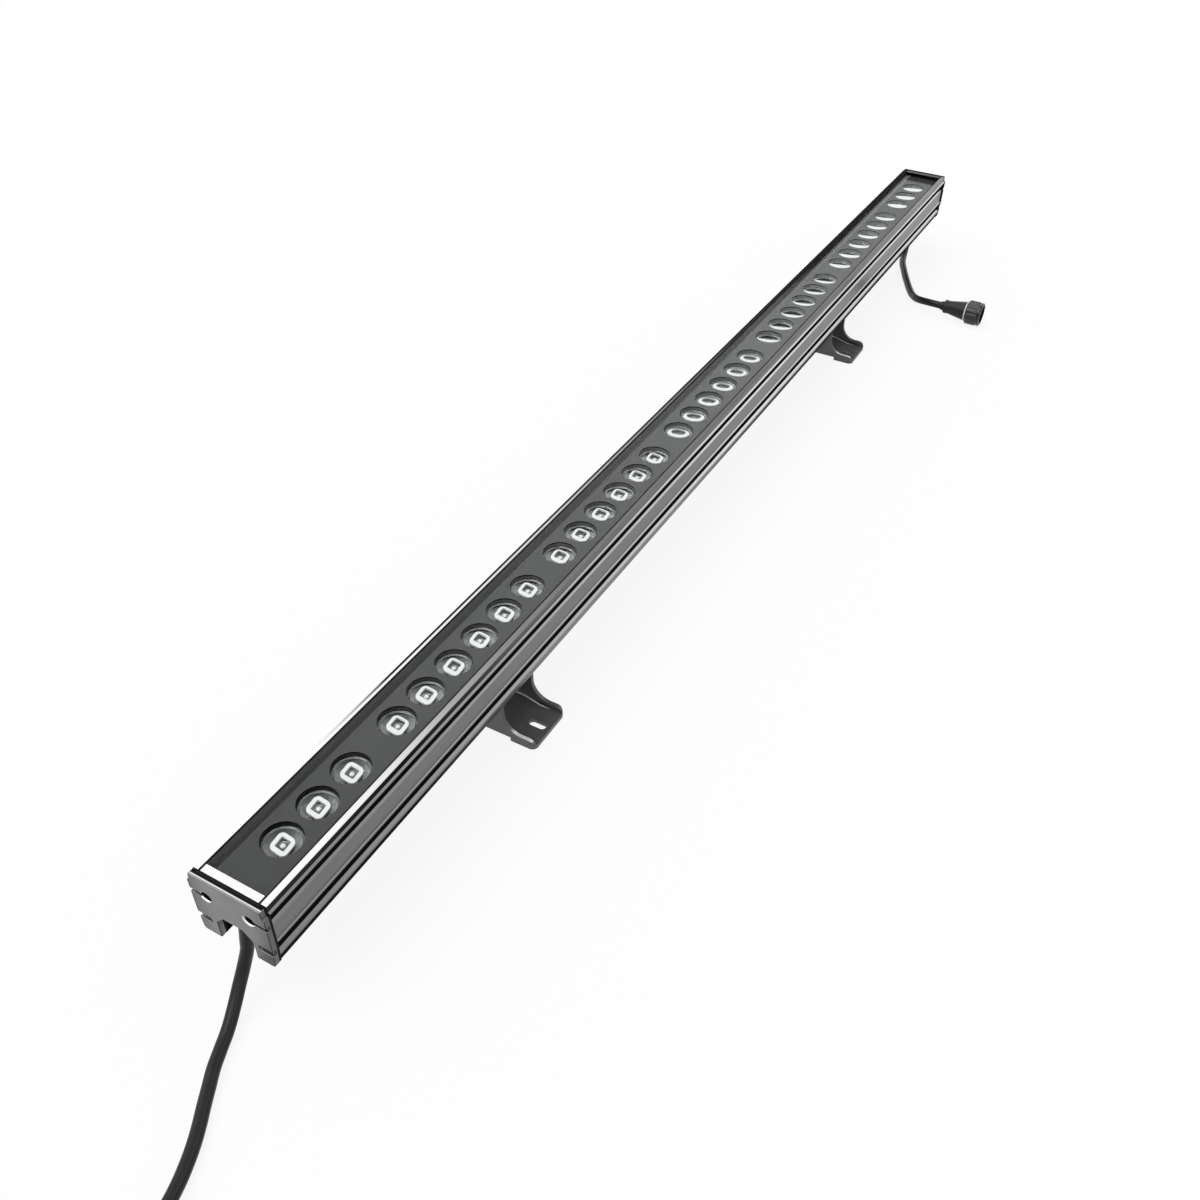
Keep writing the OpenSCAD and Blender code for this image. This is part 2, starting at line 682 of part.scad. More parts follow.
// Brackets, drawn around a bracket's middle at X = 0
module saddle() color([0.24, 0.24, 0.24]) difference() {
    along_x(-saddle_l / 2, saddle_l / 2) union() {
        polygon(both_sides([
            [saddle_w / 2, pivot_z],
            [saddle_w / 2, foot_h + channel_side_h - slide_gap],
            [ceiling_w / 2 - slide_gap, foot_h + web_top]]));
        translate([0, pivot_z]) circle(d = saddle_w);
    }
    along_x(-saddle_l / 2 + ear_t, saddle_l / 2 - ear_t)
        translate([-body_w / 2, 0]) square([body_w, foot_h + web_top - web_t]);
    translate([-foot_l / 2, 0, pivot_z]) rotate([0, 90, 0]) cylinder(h = foot_l, d = pivot_d + 2 * run_gap);
    translate([0, 0, foot_h]) cylinder(h = channel_h, d = slide_d + 2 * fit_gap);
}

module slide_bolt() color([0.6, 0.6, 0.6]) {
    translate([-slide_head_w / 2, -slide_head_w / 2, foot_h + pocket_z + slide_gap])
        cube([slide_head_w, slide_head_w, slide_head_h]);
    translate([0, 0, nut_top - slide_nut_h - slide_tail])
        cylinder(h = foot_h + pocket_z + over - nut_top + slide_nut_h + slide_tail, d = slide_d);
}

module slide_washer() color([0.6, 0.6, 0.6]) translate([0, 0, nut_top]) difference() {
    cylinder(h = washer_t, d = slide_washer_d);
    translate([0, 0, -over]) cylinder(h = washer_t + 2 * over, d = slide_d + 2 * fit_gap);
}

module slide_nut() color([0.6, 0.6, 0.6]) translate([0, 0, nut_top - slide_nut_h]) difference() {
    hex(slide_nut_w, slide_nut_h);
    translate([0, 0, -over]) cylinder(h = slide_nut_h + 2 * over, d = slide_d + 2 * fit_gap);
}

// Outline of a cheek: pads at the ends, a step under the middle, a hollow flank and a round boss
module cheek_outline() {
    polygon(both_sides(concat(
        [[step_y, step_h], [step_y, 0], [foot_w / 2, 0]],
        arc([foot_w / 2 - rim_corner_r, rim_h - rim_corner_r], rim_corner_r, 0, 90, 6),
        arc([boss_r + hollow_r, rim_h + hollow_r], hollow_r, -90, -180, 10),
        [[boss_r, pivot_z]])));
    translate([0, pivot_z]) circle(r = boss_r);
}

module base_outline() polygon(both_sides([
    [step_y, step_h], [step_y, 0], [foot_w / 2, 0], [foot_w / 2, pad_t],
    [step_y + step_slope, pad_t], [step_y, step_h + pad_t]]));

// Plan of a foot, with round corners
module foot_plan() {
    square([foot_l - 2 * pad_corner_r, foot_w], center = true);
    square([foot_l, foot_w - 2 * pad_corner_r], center = true);
    for (x = [-1, 1], y = [-1, 1])
        translate([x * (foot_l / 2 - pad_corner_r), y * (foot_w / 2 - pad_corner_r)]) circle(r = pad_corner_r);
}

module foot() color([0.24, 0.24, 0.24]) difference() {
    intersection() {
        union() {
            along_x(-foot_l / 2, foot_l / 2) base_outline();
            for (s = [0, 1]) mirror([s, 0, 0])
                along_x(-foot_l / 2, -foot_l / 2 + cheek_t) cheek_outline();
        }
        linear_extrude(foot_h) foot_plan();
    }
    translate([-foot_l / 2 - over, 0, pivot_z]) rotate([0, 90, 0])
        cylinder(h = foot_l + 2 * over, d = pivot_d + 2 * fit_gap);
    for (s = [-1, 1]) translate([0, s * (foot_w / 2 - fix_slot_inset), -over]) {
        for (e = [-1, 1]) translate([0, e * (fix_slot_l - fix_slot_w) / 2, 0])
            cylinder(h = pad_t + 2 * over, d = fix_slot_w);
        translate([-fix_slot_w / 2, -(fix_slot_l - fix_slot_w) / 2, 0])
            cube([fix_slot_w, fix_slot_l - fix_slot_w, pad_t + 2 * over]);
    }
}

module pivot_bolt() color([0.6, 0.6, 0.6]) translate([0, 0, pivot_z]) rotate([0, 90, 0]) {
    translate([0, 0, -stack - pivot_head_h]) hex(pivot_head_w, pivot_head_h);
    translate([0, 0, -stack - over]) cylinder(h = 2 * stack + pivot_nut_h + pivot_tail + over, d = pivot_d);
}

module pivot_washers() color([0.6, 0.6, 0.6]) for (s = [0, 1]) mirror([s, 0, 0])
    translate([foot_l / 2, 0, pivot_z]) rotate([0, 90, 0]) difference() {
        cylinder(h = washer_t, d = pivot_washer_d);
        translate([0, 0, -over]) cylinder(h = washer_t + 2 * over, d = pivot_d + 2 * fit_gap);
    }

module pivot_nut() color([0.6, 0.6, 0.6]) translate([stack, 0, pivot_z]) rotate([0, 90, 0]) difference() {
    hex(pivot_head_w, pivot_nut_h);
    translate([0, 0, -over]) cylinder(h = pivot_nut_h + 2 * over, d = pivot_d + 2 * fit_gap);
}

module at_near() translate([near_x, 0, 0]) children();
module at_far() translate([far_x, 0, 0]) children();

housing_profile();
end_cap();  // end_cap_near
far_end() end_cap();  // end_cap_far
end_gasket();  // end_gasket_near
far_end() end_gasket();  // end_gasket_far
end_cap_screws();  // end_cap_screws_near
far_end() end_cap_screws();  // end_cap_screws_far
glass_cover();
glass_seals();
white_end_strip();  // white_end_strip_near
grey_end_strip();  // grey_end_strip_far
lens_mask();
lens_group(0);  // lens_group_1
lens_group(1);  // lens_group_2
lens_group(2);  // lens_group_3
lens_group(3);  // lens_group_4
lens_group(4);  // lens_group_5
lens_group(5);  // lens_group_6
lens_group(6);  // lens_group_7
led_board();  // led_board_near
far_end() led_board();  // led_board_far
led_emitters();  // led_emitters_near
far_end() led_emitters();  // led_emitters_far
board_parts();  // board_parts_near
far_end() board_parts();  // board_parts_far
board_screws();
board_link_wires();
lead_wires();  // inlet_wires
far_end() lead_wires();  // outlet_wires
strain_relief(inlet_route);  // inlet_strain_relief
strain_relief(outlet_route);  // outlet_strain_relief
gland_nut();  // inlet_gland_nut
far_end() gland_nut();  // outlet_gland_nut
inlet_lead();
inlet_connector();
inlet_pins();
inlet_seal();
outlet_lead();
outlet_connector();
outlet_contacts();
outlet_collar();
at_near() saddle();  // saddle_near
at_near() slide_bolt();  // slide_bolt_near
at_near() slide_washer();  // slide_washer_near
at_near() slide_nut();  // slide_nut_near
at_near() foot();  // foot_near
at_near() pivot_bolt();  // pivot_bolt_near
at_near() pivot_washers();  // pivot_washers_near
at_near() pivot_nut();  // pivot_nut_near
at_far() saddle();  // saddle_far
at_far() slide_bolt();  // slide_bolt_far
at_far() slide_washer();  // slide_washer_far
at_far() slide_nut();  // slide_nut_far
at_far() foot();  // foot_far
at_far() pivot_bolt();  // pivot_bolt_far
at_far() pivot_washers();  // pivot_washers_far
at_far() pivot_nut();  // pivot_nut_far
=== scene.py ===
import math

import bmesh
import bpy
from mathutils import Matrix, Vector


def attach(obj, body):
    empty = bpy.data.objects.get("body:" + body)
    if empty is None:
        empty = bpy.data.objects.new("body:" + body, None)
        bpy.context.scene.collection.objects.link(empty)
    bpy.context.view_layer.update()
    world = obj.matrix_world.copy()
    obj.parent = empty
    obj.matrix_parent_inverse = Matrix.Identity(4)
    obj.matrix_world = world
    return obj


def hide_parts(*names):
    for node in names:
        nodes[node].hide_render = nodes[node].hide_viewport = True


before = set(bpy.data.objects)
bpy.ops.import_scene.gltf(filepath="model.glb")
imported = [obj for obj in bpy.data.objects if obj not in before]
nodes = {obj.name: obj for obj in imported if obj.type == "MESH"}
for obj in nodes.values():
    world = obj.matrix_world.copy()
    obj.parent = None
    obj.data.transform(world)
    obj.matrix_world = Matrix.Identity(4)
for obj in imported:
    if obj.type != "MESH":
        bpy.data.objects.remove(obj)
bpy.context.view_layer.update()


# Camera. It stands beside and above the near end of the bar and looks along it, rolled by
# about one degree, with the lens and the picture frame of the photograph.
def in_scene(name, data):
    """A new object that shows some data in the scene."""
    made = bpy.data.objects.new(name, data)
    bpy.context.scene.collection.objects.link(made)
    return made


eye = Vector((-0.6794, -0.2776, 0.4886))
looked_at = Vector((-0.2079, -0.0213, 0.0350))
camera_roll = 0.021
forward = (looked_at - eye).normalized()
level_right = forward.cross(Vector((0, 0, 1))).normalized()
level_up = level_right.cross(forward)
camera_right = level_right * math.cos(camera_roll) + level_up * math.sin(camera_roll)
camera_up = level_up * math.cos(camera_roll) - level_right * math.sin(camera_roll)
camera_lens = bpy.data.cameras.new("camera")
camera_lens.sensor_width = 36
camera_lens.lens = 34.41
camera_lens.clip_start = 0.01
camera_lens.clip_end = 60
camera = in_scene("camera", camera_lens)
camera.matrix_world = Matrix.Translation(eye) @ Matrix(
    (camera_right, camera_up, -forward)).transposed().to_4x4()
bpy.context.scene.camera = camera
bpy.context.scene.view_settings.view_transform = "Standard"


# Leads. Two round leads in extruded black rubber, 6.5 mm thick, leave the channel under the bar.
# The near one goes to the supply and the far one on to the next lamp. Both lie on the floor.
MM = 0.001


def principled(name, **values):
    """A node material and its shader, with values set on the shader's own sockets."""
    material = bpy.data.materials.new(name)
    material.use_nodes = True
    shader = material.node_tree.nodes["Principled BSDF"]
    for socket, value in values.items():
        shader.inputs[socket.replace("_", " ")].default_value = value
    return material, shader


def add_node(material, kind, settings=None, **values):
    """A new node of a kind, its settings, and values or links for its input sockets, which are
    named, or numbered after an underscore."""
    node = material.node_tree.nodes.new(kind)
    for name, value in (settings or {}).items():
        setattr(node, name, value)
    for socket, value in values.items():
        key = int(socket[1:]) if socket[0] == "_" else socket.replace("_", " ")
        if hasattr(value, "is_output"):
            material.node_tree.links.new(value, node.inputs[key])
        else:
            node.inputs[key].default_value = value
    return node


def place_on(material, stretch=(1, 1, 1)):
    """The piece's own coordinates, stretched along its axes."""
    where = add_node(material, "ShaderNodeTexCoord").outputs["Object"]
    return add_node(material, "ShaderNodeMapping", Vector=where, Scale=stretch).outputs["Vector"]


def noise(material, scale, detail, roughness=0.5, stretch=(1, 1, 1)):
    """A fine uneven pattern that stays on the piece."""
    return add_node(material, "ShaderNodeTexNoise", Vector=place_on(material, stretch),
        Scale=scale, Detail=detail, Roughness=roughness).outputs["Fac"]


def between(material, amount, low, high, start=0.0, end=1.0):
    """An amount from start to end, turned into one from low to high."""
    return add_node(material, "ShaderNodeMapRange", Value=amount, _1=start, _2=end, _3=low,
        _4=high).outputs["Result"]


def colours(material, amount, stops):
    """A colour that changes with an amount, by places and grey levels or colours."""
    ramp = add_node(material, "ShaderNodeValToRGB", Fac=amount)
    while len(ramp.color_ramp.elements) < len(stops):
        ramp.color_ramp.elements.new(0.5)
    for element, (place, colour) in zip(ramp.color_ramp.elements, stops):
        element.position = place
        element.color = (*colour, 1) if hasattr(colour, "__len__") else (colour,) * 3 + (1,)
    return ramp.outputs["Color"]


def drive(material, shader, **sockets):
    """Links patterns to the shader's sockets."""
    for name, source in sockets.items():
        material.node_tree.links.new(source, shader.inputs[name.replace("_", " ")])


def bump(material, shader, height, strength, distance):
    """Gives a shader fine relief from a pattern, by a distance in millimetres."""
    relief = add_node(material, "ShaderNodeBump", Height=height, Strength=strength,
        Distance=distance * MM)
    drive(material, shader, Normal=relief.outputs["Normal"])


def grained(name, scale, detail, stops, smooth, rough, spread=(0, 1), relief=None, **values):
    """A finish whose colour and roughness change together in a fine grain. Its relief is the
    scale and detail of a pattern, then the strength and the distance."""
    material, shader = principled(name, **values)
    grain = noise(material, scale, detail)
    drive(material, shader, Base_Color=colours(material, grain, stops),
        Roughness=between(material, grain, smooth, rough, *spread))
    if relief:
        bump(material, shader, noise(material, *relief[:2]), *relief[2:])
    return material


lead_rubber = grained("lead rubber", 90, 4, [(0.3, 0.009), (0.62, 0.013), (0.8, 0.02)], 0.22, 0.38,
    spread=(0.3, 0.7), relief=(900, 2, 0.25, 0.2), Specular_IOR_Level=0.18)

lead_wide = 6.5 * MM
gland_x = 491 * MM

# The points that each lead follows, in millimetres from the floor under its gland.
inlet_points = [(-5, 0, 32), (-5.5, 0, 30.1), (-9.2, 0.5, 21.4), (-15, -0.2, 13.9),
    (-22.5, -2.6, 8.2), (-31.3, -6.1, 4.6), (-40.7, -9.7, 3.3), (-48, -13, 3.3), (-55, -17, 3.3),
    (-62.5, -21.3, 3.3), (-69.5, -25.5, 3.3), (-77, -29.5, 3.3), (-85, -33.1, 3.5),
    (-93.3, -36.4, 4.3), (-101.6, -39.2, 5.9), (-110.1, -41.2, 7.5), (-119, -42, 8.3),
    (-125, -42, 8.3)]
outlet_points = [(-5, 0, 32), (-5.5, 0, 30.1), (-9.2, -0.6, 21.4), (-15, -1.5, 13.9),
    (-22.5, -2.9, 8.2), (-31.3, -4.6, 4.6), (-40.7, -6.7, 3.3), (-47.5, -8.7, 3.3),
    (-54.5, -11.3, 3.3), (-61.6, -14.3, 3.3), (-69, -17.4, 3.3), (-76.3, -20.6, 3.3),
    (-83.5, -23.9, 3.3), (-90.8, -27.3, 3.3), (-98.1, -30.8, 3.3), (-105.4, -34.4, 3.4),
    (-113.2, -38.5, 3.8), (-121, -43.2, 4.8), (-127.9, -48.2, 6.5), (-133.5, -54.3, 8.5),
    (-137.3, -61.7, 10.1), (-139, -70, 10.75), (-139, -74, 10.75)]
inlet_route = [Vector((-gland_x, 0, 0)) + Vector(p) * MM for p in inlet_points]
outlet_route = [Vector((gland_x, 0, 0)) + Vector(p) * MM for p in outlet_points]


def lead(name, route, node):
    """A lead that follows a route."""
    line = bpy.data.curves.new(name, "CURVE")
    line.dimensions = "3D"
    line.bevel_depth = lead_wide / 2
    line.bevel_resolution = 5
    line.resolution_u = 8
    line.use_fill_caps = True
    spline = line.splines.new("BEZIER")
    spline.bezier_points.add(len(route) - 1)
    for point, place in zip(spline.bezier_points, route):
        point.co = place
        point.handle_left_type = point.handle_right_type = "AUTO"
    line.materials.append(lead_rubber)
    piece = in_scene(name, line)
    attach(piece, "lamp_bar")
    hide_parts(node)
    return piece


inlet_sheath = lead("inlet_sheath", inlet_route, "inlet_lead")
outlet_sheath = lead("outlet_sheath", outlet_route, "outlet_lead")


# Strain reliefs. A tapered moulded rubber boot holds each lead where it leaves the channel's
# ceiling. Its flange seals under the ceiling and its threaded stem is held by a nut inside.
def piece_from(bm, name, material, body, node=None, sharp=35):
    """Makes a shown piece of a finished bmesh, which may stand for a node of the solid model."""
    mesh = bpy.data.meshes.new(name)
    bm.to_mesh(mesh)
    bm.free()
    mesh.shade_smooth()
    mesh.set_sharp_from_angle(angle=math.radians(sharp))
    mesh.materials.append(material)
    piece = in_scene(name, mesh)
    even = piece.modifiers.new("even shading", "WEIGHTED_NORMAL")
    even.keep_sharp = True
    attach(piece, body)
    if node:
        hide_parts(node)
    return piece


def join(bm, solid):
    """Adds a finished solid to a bmesh."""
    mesh = bpy.data.meshes.new("solid")
    solid.to_mesh(mesh)
    solid.free()
    bm.from_mesh(mesh)
    bpy.data.meshes.remove(mesh)


def turn(bm, outline, place, steps=48):
    """Turns an outline of radii and heights in millimetres about its axis, then puts it in place."""
    solid = bmesh.new()
    verts = [solid.verts.new((r * MM, 0, z * MM)) for r, z in outline]
    edges = [solid.edges.new(pair) for pair in zip(verts, verts[1:])]
    bmesh.ops.spin(solid, geom=verts + edges, cent=(0, 0, 0), axis=(0, 0, 1),
        angle=2 * math.pi, steps=steps, use_merge=True)
    bmesh.ops.remove_doubles(solid, verts=solid.verts, dist=1e-7)
    bmesh.ops.recalc_face_normals(solid, faces=solid.faces)
    bmesh.ops.transform(solid, matrix=place, verts=solid.verts)
    join(bm, solid)


def facing(place, direction):
    """Puts a piece's axis at a place, along a direction, with its X side up."""
    return Matrix.Translation(place) @ direction.to_track_quat("Z", "X").to_matrix().to_4x4()


ceiling_z = 52 * MM
flange_t = 2 * MM
stem_outline = [(0, 0), (4.6, 0), (4.8, 0.3), (4.8, 1.7), (4.6, 2), (3.6, 2), (3.6, 13), (0, 13)]
for name, route, side in (("inlet", inlet_route, -1), ("outlet", outlet_route, 1)):
    root = Vector((side * gland_x, 0, ceiling_z - flange_t))
    lean = root - route[0]
    boot_l = lean.length / MM + 1
    bm = bmesh.new()
    turn(bm, [(3.2, 0), (3.3, 0), (3.36, 0.3), (4.5, boot_l - 3), (4.5, boot_l), (0, boot_l)],
        facing(route[0], lean.normalized()))
    turn(bm, stem_outline, Matrix.Translation(root))
    piece_from(bm, name + "_boot", lead_rubber, "lamp_bar",
        name + "_strain_relief")


# Connectors. Each lead ends in a moulded black body. The near one is a plug: two pins and a red
# rubber ring in a threaded shroud. The far one is a nose with two brass contacts, a white nylon
# washer, and a free union nut round it, with flutes for the fingers.
connector_plastic = grained("connector plastic", 160, 3, [(0.3, 0.012), (0.7, 0.02)], 0.34, 0.5,
    spread=(0.3, 0.7), relief=(1400, 2, 0.3, 0.2), Specular_IOR_Level=0.2)
collar_plastic = grained("collar plastic", 120, 3, [(0.3, 0.008), (0.7, 0.016)], 0.12, 0.26,
    spread=(0.3, 0.7), Specular_IOR_Level=0.3, Coat_Weight=0.2, Coat_Roughness=0.04)
nylon_ring = grained("nylon ring", 300, 2, [(0.3, (0.74, 0.72, 0.68)), (0.7, (0.84, 0.82, 0.8))],
    0.35, 0.5, Specular_IOR_Level=0.5)
contact_brass = grained("contact brass", 800, 3,
    [(0.3, (0.62, 0.42, 0.16)), (0.7, (0.8, 0.6, 0.3))], 0.2, 0.36, Metallic=1.0)
seal_rubber = grained("seal rubber", 400, 3,
    [(0.3, (0.3, 0.035, 0.02)), (0.7, (0.42, 0.06, 0.03))], 0.4, 0.6, Specular_IOR_Level=0.4)


def finish_node(material, *names):
    """Gives kept nodes of the solid model a material, in each of their slots."""
    for name in names:
        data = nodes[name].data
        if not data.materials:
            data.materials.append(material)
        for k in range(len(data.materials)):
            data.materials[k] = material


finish_node(contact_brass, "inlet_pins", "outlet_contacts")
finish_node(seal_rubber, "inlet_seal")

inlet_axis = facing(inlet_route[-1], Vector((-1, 0, 0)))
thread_pitch = 1.25
thread = []
for rise in [k * thread_pitch for k in range(6)]:
    thread += [(8.3, 28.1 + rise), (8.3, 28.5 + rise), (7.75, 28.85 + rise), (7.75, 29.1 + rise)]
plug_outline = [(0, 0), (3.7, 0), (4.0, 0.3), (4.0, 2.3), (3.6, 2.6), (3.6, 3.0), (5.5, 3.1),
    (5.9, 3.5), (5.95, 6.0), (5.75, 6.5), (6.0, 7.5), (7.5, 22.6), (7.5, 23.6), (7.1, 24),
    (6.7, 24), (6.7, 27.2), (7.9, 27.2), (8.3, 27.6)] + thread + [(8.3, 35.6), (8.0, 36),
    (6.3, 36), (6.1, 35.8), (6.1, 27), (0, 27)]
bm = bmesh.new()
turn(bm, plug_outline, inlet_axis, steps=64)
inlet_plug = piece_from(bm, "inlet_plug_body", connector_plastic, "lamp_bar",
    "inlet_connector")

outlet_axis = facing(outlet_route[-1], Vector((0, -1, 0)))
nose_outline = [(0, 0), (3.7, 0), (4.0, 0.3), (4.0, 2.3), (3.6, 2.6), (3.6, 3.0), (5.6, 3.1),
    (6.0, 3.5), (6.05, 6.2), (5.75, 6.7), (5.85, 7.6), (8.4, 22.3), (8.5, 22.9), (8.3, 23.2),
    (7.0, 23.2), (7.0, 27.1), (7.4, 27.2), (7.5, 27.4), (7.5, 28.1), (7.0, 28.3), (7.0, 32.6),
    (6.6, 33), (0, 33)]
bm = bmesh.new()
turn(bm, nose_outline, outlet_axis, steps=64)
outlet_plug = piece_from(bm, "outlet_plug_body", connector_plastic, "lamp_bar",
    "outlet_connector")
washer_outline = [(7.02, 23.25), (8.5, 23.25), (8.75, 23.45), (8.75, 24.1), (8.5, 24.35),
    (7.02, 24.35), (7.02, 23.25)]
bm = bmesh.new()
turn(bm, washer_outline, outlet_axis, steps=64)
union_washer = piece_from(bm, "union_washer", nylon_ring, "lamp_bar")

nut_outline = [(7.05, 24.4), (9.4, 24.4), (10.1, 24.9), (10.75, 26.2), (10.75, 34.6),
    (10.3, 35.2), (10.3, 36.2), (10.6, 36.8), (10.2, 38.1), (9.8, 38.4), (8.9, 38.4),
    (8.75, 38.2), (8.75, 26.8), (7.05, 26.8), (7.05, 24.4)]

# Strips along the nut's widest part are drawn in towards its axis, for grip.
flutes = 16
flute_share = 0.4
flute_draw = 0.95
bm = bmesh.new()
turn(bm, nut_outline, Matrix(), steps=flutes * 6)
for v in bm.verts:
    turned = math.atan2(v.co.y, v.co.x) / (2 * math.pi) * flutes % 1
    on_grip = 25.5 * MM < v.co.z < 35 * MM and v.co.xy.length > 10.5 * MM
    if on_grip and turned < flute_share:
        bmesh.ops.scale(bm, vec=(flute_draw, flute_draw, 1), verts=[v])
bmesh.ops.transform(bm, matrix=outlet_axis, verts=bm.verts)
piece_from(bm, "union_nut", collar_plastic, "outlet_collar",
    "outlet_collar")


# Extruded body. One aluminium extrusion carries everything: a lens chamber on top, legs at the
# sides and an open channel below. It is brushed and anodised dark grey, with painted shade in its
# grooves, along its foot and in its cove, and painted highlights on its ledges and near-end lips.
bar_end = 500 * MM


def axes(material, kind="Object"):
    """X, Y and Z of a point on the piece, or for Normal of the way that its surface faces."""
    where = add_node(material, "ShaderNodeTexCoord").outputs[kind]
    return add_node(material, "ShaderNodeSeparateXYZ", Vector=where).outputs


def maths(material, operation, *amounts):
    """Amounts and numbers brought together by one operation."""
    inputs = {"_%d" % k: amount for k, amount in enumerate(amounts)}
    return add_node(material, "ShaderNodeMath", {"operation": operation}, **inputs).outputs[0]


def along_bar(material):
    """Nought at the near end of the bar and one at the far end."""
    return between(material, axes(material)["X"], 0, 1, -bar_end, bar_end)


def beyond(material, amount, start, end):
    """Nought below a start in millimetres and one above an end."""
    return between(material, amount, 0, 1, start * MM, end * MM)


def grey(level):
    """A plain grey."""
    return (level, level, level, 1)


def blended(material, amount, first, second):
    """One colour turning into another with an amount."""
    return add_node(material, "ShaderNodeMix", {"data_type": "RGBA"}, _0=amount, _6=first,
        _7=second).outputs[2]


body_aluminium, shader = principled("body aluminium", Specular_IOR_Level=0.0)
streaks = noise(body_aluminium, 6, 4, 0.65, stretch=(3, 420, 420))
brushing = noise(body_aluminium, 3, 2, stretch=(12, 1600, 1600))
place = axes(body_aluminium)
tilt = axes(body_aluminium, "Normal")["Z"]
outwards = maths(body_aluminium, "ABSOLUTE", place["Y"])
along = along_bar(body_aluminium)

anodised = colours(body_aluminium, streaks, [(0.3, 0.125), (0.5, 0.15), (0.7, 0.185)])
# Painted shade: every face set in from the sides, as in the grooves, is near black.
groove_painted_shade = grey(0.006)
# Painted shade: the foot is near black, greyer about a quarter of the way along.
foot = colours(body_aluminium, along, [(0.1, 0.012), (0.17, 0.06), (0.26, 0.13), (0.4, 0.11),
    (0.5, 0.06), (0.6, 0.04), (0.78, 0.012), (0.95, 0.03)])
# Painted highlight: faces that tilt up are lighter, more so towards the far end.
ledge_painted_highlights = colours(body_aluminium, along, [(0.02, 0.15), (0.18, 0.2), (0.38, 0.33), (0.5, 0.45),
    (0.7, 0.4), (0.93, 0.5)])
# Painted shade: the cove under the lip tops is dark towards the near end.
cove_painted_shade = colours(body_aluminium, along, [(0.04, 0.03), (0.1, 0.01), (0.16, 0.05), (0.26, 0.14)])
# Painted highlight and shade: the lips are bright at the near end and dark further along, and the
# left lip's outer rim is bright only at the very near end.
right_lip_painted_light = colours(body_aluminium, along, [(0.04, 0.6), (0.09, 0.48), (0.14, 0.235), (0.2, 0.14),
    (0.26, 0.1), (0.5, 0.085), (0.75, 0.09), (0.83, 0.12), (0.93, 0.16)])
left_lip_painted_light = colours(body_aluminium, along, [(0.02, 0.7), (0.1, 0.62), (0.2, 0.5), (0.26, 0.4),
    (0.38, 0.2), (0.48, 0.09), (0.58, 0.045), (0.7, 0.02)])
left_rim_painted_light = colours(body_aluminium, along, [(0.08, 0.6), (0.14, 0.03), (0.7, 0.02)])

# Each tone gives way to the next over a short stretch, in millimetres across or up the bar.
left_lip_painted_light = blended(body_aluminium, beyond(body_aluminium, place["Y"], 19.1, 19.3), left_lip_painted_light,
    left_rim_painted_light)
lips = blended(body_aluminium, beyond(body_aluminium, place["Y"], 0, 0.1), right_lip_painted_light, left_lip_painted_light)
tone = blended(body_aluminium, beyond(body_aluminium, place["Z"], 39.9, 41.2), foot, anodised)
tone = blended(body_aluminium, beyond(body_aluminium, outwards, 20.3, 20.5), groove_painted_shade, tone)
tone = blended(body_aluminium, between(body_aluminium, tilt, 0, 1, 0.35, 0.6), tone, ledge_painted_highlights)
tone = blended(body_aluminium, beyond(body_aluminium, place["Z"], 71.7, 71.8), tone, cove_painted_shade)
tone = blended(body_aluminium, beyond(body_aluminium, place["Z"], 75.1, 75.2), tone, lips)
drive(body_aluminium, shader, Base_Color=tone,
    Metallic=between(body_aluminium, tone, 0, 1, 0.05, 0.09),
    Roughness=between(body_aluminium, streaks, 0.26, 0.42, 0.3, 0.7))
bump(body_aluminium, shader, brushing, 0.12, 0.1)

section = [(4.9, 58), (4.9, 54), (2.9, 54), (2.9, 52), (5.5, 52), (10.5, 46.5), (10.5, 35),
    (19.4, 35), (20, 35.3), (20.6, 36.1), (20.9, 36.9), (21.2, 38.2), (21.6, 42.3), (20.1, 43.2),
    (20, 43.5), (20, 50.1), (21.9, 50.1), (21.9, 50.9), (21.2, 51.35), (21.2, 62.9), (20, 63.6),
    (19.9, 63.9), (19.9, 70.3), (21.9, 70.3), (21.9, 70.9), (20.9, 71.5), (20.9, 75.2),
    (20.6, 75.5), (17.8, 75.5), (17.8, 70.5), (13, 70.5), (13, 69.3), (19.3, 69.3), (19.3, 60)]
section = section + [(-y, z) for y, z in reversed(section)]
half_l = 496 * MM
edge_round = 0.1 * MM
bm = bmesh.new()
outline = [bm.verts.new((-half_l, y * MM, z * MM)) for y, z in section]
grown = bmesh.ops.extrude_face_region(bm, geom=[bm.faces.new(outline)])["geom"]
bmesh.ops.translate(bm, vec=(2 * half_l, 0, 0),
    verts=[part for part in grown if isinstance(part, bmesh.types.BMVert)])
bmesh.ops.recalc_face_normals(bm, faces=bm.faces)
long_edges = [e for e in bm.edges if abs(e.verts[0].co.x - e.verts[1].co.x) > half_l
    and e.calc_face_angle(0) > math.radians(40)]
bmesh.ops.bevel(bm, geom=long_edges, offset=edge_round, segments=2, profile=0.5, affect="EDGES",
    material=-1, clamp_overlap=True)
piece_from(bm, "body_extrusion", body_aluminium, "lamp_bar",
    "housing_profile", sharp=25)


